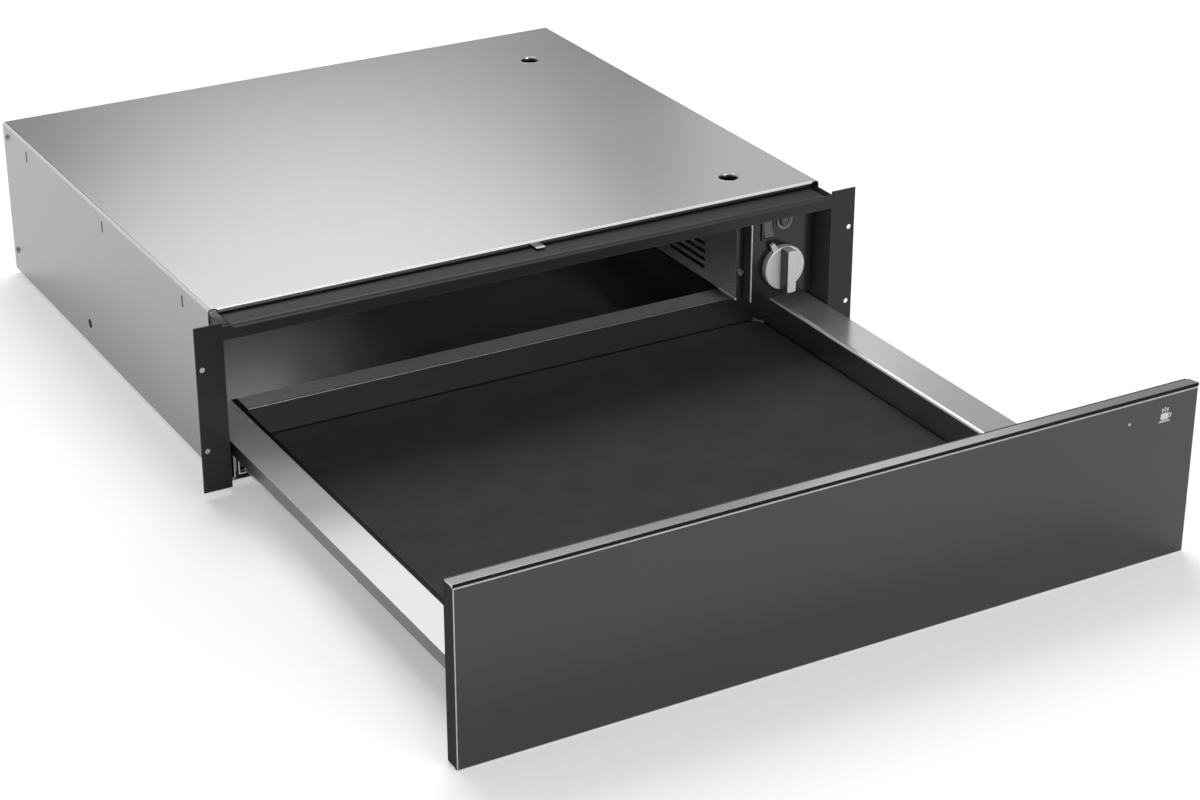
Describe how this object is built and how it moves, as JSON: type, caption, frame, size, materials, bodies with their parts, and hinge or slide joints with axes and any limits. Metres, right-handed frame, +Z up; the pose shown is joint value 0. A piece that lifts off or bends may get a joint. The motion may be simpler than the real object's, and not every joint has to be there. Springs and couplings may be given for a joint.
{
  "type": "built-in warming drawer",
  "caption": "Built-in warming drawer: a low heated steel housing with mounting ears, a pull-out tray on telescopic runners, and a flat dark glass front.",
  "frame": {"origin": "on the underside of the base, midway between the sides, in the plane where the mounting ears bear on the cabinet", "axes": "+X to the right as seen from the front, +Y to the back, +Z up"},
  "size_m": [0.594, 0.9453, 0.1431],
  "materials": {
    "casing_steel": "satin zinc-coated sheet",
    "dark_enamel": "dark satin enamel",
    "bright_steel": "bright polished sheet",
    "tray_steel": "satin stainless steel",
    "runner_steel": "zinc-plated steel",
    "screw_steel": "bright plated steel",
    "heater_steel": "heat-toned tube",
    "black_metal": "black",
    "motor_iron": "dark laminations",
    "trim_aluminium": "satin anodised",
    "grey_glass": "dark grey, back-printed, gloss",
    "clear_lens": "clear light pipe",
    "amber_lens": "amber",
    "mat_rubber": "fine anti-slip grain",
    "silver_plastic": "silver lacquer",
    "black_plastic": "moulded",
    "grey_plastic": "moulded",
    "white_plastic": "moulded",
    "ceramic": "off-white moulding",
    "copper": "copper tube",
    "insulation": "mineral blanket"
  },
  "bodies": {
    "housing": {"casing": "casing_steel", "base_pan": "casing_steel", "rear_panel": "casing_steel", "front_frame": "dark_enamel", "heat_shield": "casing_steel", "shield_ribs": "casing_steel", "insulation_mat": "insulation", "duct_wall": "bright_steel", "duct_floor": "bright_steel", "control_panel": "bright_steel", "thermostat": "ceramic", "sensor_bulb": "copper", "capillary_tube": "copper", "switch_body": "black_plastic", "pilot_lamp": "grey_plastic", "lamp_lens": "amber_lens", "fan_scroll": "runner_steel", "fan_motor": "motor_iron", "heater_element": "heater_steel", "heater_plate": "runner_steel", "thermal_cutout": "black_plastic", "terminal_block": "ceramic", "cable_gland": "black_plastic", "runner_bracket_left": "runner_steel", "runner_bracket_right": "runner_steel", "runner_outer_left": "runner_steel", "runner_outer_right": "runner_steel", "latch_body": "black_plastic", "rear_screws": "screw_steel", "duct_screws": "screw_steel"},
    "drawer": {"drawer_tray": "tray_steel", "tray_rear": "tray_steel", "tray_front": "tray_steel", "tray_mat": "mat_rubber", "side_channel_left": "runner_steel", "side_channel_right": "runner_steel", "runner_inner_left": "runner_steel", "runner_inner_right": "runner_steel", "front_bracket_left": "runner_steel", "front_bracket_right": "runner_steel", "front_backing": "dark_enamel", "glass_fascia": "grey_glass", "top_trim": "trim_aluminium", "status_lens": "clear_lens", "bumpers": "mat_rubber", "bracket_screws": "screw_steel", "latch_striker": "screw_steel"},
    "knob_set": {"knob": "silver_plastic", "thermostat_spindle": "screw_steel"},
    "rocker_key": {"rocker": "grey_plastic"},
    "plunger": {"latch_plunger": "white_plastic"},
    "fan_rotor": {"fan_impeller": "black_metal", "fan_shaft": "screw_steel"},
    "middle_left": {"runner_middle_left": "runner_steel"},
    "middle_right": {"runner_middle_right": "runner_steel"},
    "outer_cage_l": {"outer_cage_left": "runner_steel"},
    "outer_cage_r": {"outer_cage_right": "runner_steel"},
    "inner_cage_l": {"inner_cage_left": "runner_steel"},
    "inner_cage_r": {"inner_cage_right": "runner_steel"}
  },
  "joints": [
    {"name": "drawer_slide", "type": "slide", "parent": "housing", "child": "drawer", "axis": [0, 1, 0], "range_m": [0, 0.412]},
    {"name": "middle_left_slide", "type": "slide", "parent": "housing", "child": "middle_left", "axis": [0, 1, 0], "range_m": [0, 0.206]},
    {"name": "middle_right_slide", "type": "slide", "parent": "housing", "child": "middle_right", "axis": [0, 1, 0], "range_m": [0, 0.206]},
    {"name": "outer_cage_l_slide", "type": "slide", "parent": "housing", "child": "outer_cage_l", "axis": [0, 1, 0], "range_m": [0, 0.103]},
    {"name": "outer_cage_r_slide", "type": "slide", "parent": "housing", "child": "outer_cage_r", "axis": [0, 1, 0], "range_m": [0, 0.103]},
    {"name": "inner_cage_l_slide", "type": "slide", "parent": "housing", "child": "inner_cage_l", "axis": [0, 1, 0], "range_m": [0, 0.309]},
    {"name": "inner_cage_r_slide", "type": "slide", "parent": "housing", "child": "inner_cage_r", "axis": [0, 1, 0], "range_m": [0, 0.309]},
    {"name": "knob_turn", "type": "hinge", "parent": "housing", "child": "knob_set", "pos_m": [0.235, 0.012, 0.07137], "axis": [0, 1, 0], "range_deg": [0, 270]},
    {"name": "rocker_tilt", "type": "hinge", "parent": "housing", "child": "rocker_key", "pos_m": [0.2208, 0.02, 0.10881], "axis": [1, 0, 0], "range_deg": [0, 16]},
    {"name": "latch_press", "type": "slide", "parent": "housing", "child": "plunger", "axis": [0, 1, 0], "range_m": [0, 0.0038], "stiffness_N_per_m": 300},
    {"name": "fan_spin", "type": "hinge", "parent": "housing", "child": "fan_rotor", "pos_m": [0.22, 0.215, 0.0865], "axis": [1, 0, 0], "continuous": true}
  ],
  "couplings": [
    {"joint": "middle_left_slide", "follows": "drawer_slide", "ratio": 0.5},
    {"joint": "middle_right_slide", "follows": "drawer_slide", "ratio": 0.5},
    {"joint": "outer_cage_l_slide", "follows": "drawer_slide", "ratio": 0.25},
    {"joint": "outer_cage_r_slide", "follows": "drawer_slide", "ratio": 0.25},
    {"joint": "inner_cage_l_slide", "follows": "drawer_slide", "ratio": 0.75},
    {"joint": "inner_cage_r_slide", "follows": "drawer_slide", "ratio": 0.75}
  ]
}
